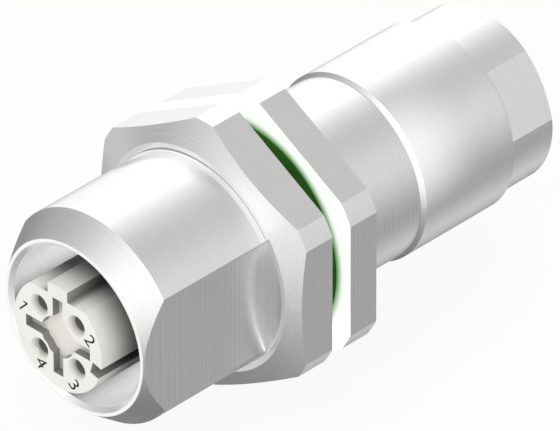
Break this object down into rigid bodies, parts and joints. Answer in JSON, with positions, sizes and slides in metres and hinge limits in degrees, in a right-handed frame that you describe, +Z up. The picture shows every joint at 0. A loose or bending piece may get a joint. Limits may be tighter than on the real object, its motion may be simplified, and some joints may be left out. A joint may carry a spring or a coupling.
{
  "type": "circular sensor connector",
  "caption": "Round metal panel feed-through socket: a coded contact insert in a threaded hexagon-flange shell, a panel nut and seal in front, and a cable clamp behind.",
  "frame": {"origin": "on the connector's axis, in the plane of the hexagon flange's panel face", "axes": "-Y along the axis towards the plug side, +Y towards the cable, +Z up with two flats of the flange's hexagon upright"},
  "size_m": [0.0192, 0.0415, 0.0212],
  "materials": {
    "nickel_plate": "nickel plated, fine turned",
    "seal_rubber": "smooth moulded",
    "insert_plastic": "matt moulded",
    "lock_plastic": "matt moulded",
    "cage_plastic": "matt moulded",
    "black_rubber": "smooth moulded",
    "contact_gold": "gold plated, turned",
    "spring_bronze": "bright rolled strip"
  },
  "bodies": {
    "shell": {"front_shell": "nickel_plate", "panel_seal": "seal_rubber", "contact_insert": "insert_plastic", "insert_base": "insert_plastic", "insert_seal": "black_rubber", "contact_holder": "insert_plastic", "contact_lock": "lock_plastic", "retaining_ring": "nickel_plate", "contact_1": "contact_gold", "contact_2": "contact_gold", "contact_3": "contact_gold", "contact_4": "contact_gold", "barrel": "nickel_plate", "barrel_seal": "black_rubber", "shield_iris": "spring_bronze", "shield_ring": "nickel_plate", "cable_seal": "black_rubber"},
    "panel_nut": {"panel_nut": "nickel_plate"},
    "clamp": {"thrust_ring": "lock_plastic", "clamp_cage": "cage_plastic"},
    "clamp_nut": {"clamp_nut": "nickel_plate"}
  },
  "joints": [
    {"name": "panel_nut_travel", "type": "slide", "parent": "shell", "child": "panel_nut", "axis": [0, -1, 0], "range_m": [-0.00025, 0.0095]},
    {"name": "clamp_travel", "type": "slide", "parent": "shell", "child": "clamp", "axis": [0, 1, 0], "range_m": [0, 0.003]},
    {"name": "clamp_nut_turn", "type": "hinge", "parent": "clamp", "child": "clamp_nut", "pos_m": [0, 0.0188, 0], "axis": [0, 1, 0], "range_deg": [0, 1080]}
  ],
  "couplings": [
    {"joint": "clamp_travel", "follows": "clamp_nut_turn", "m_per_rad": 0.00015915}
  ]
}
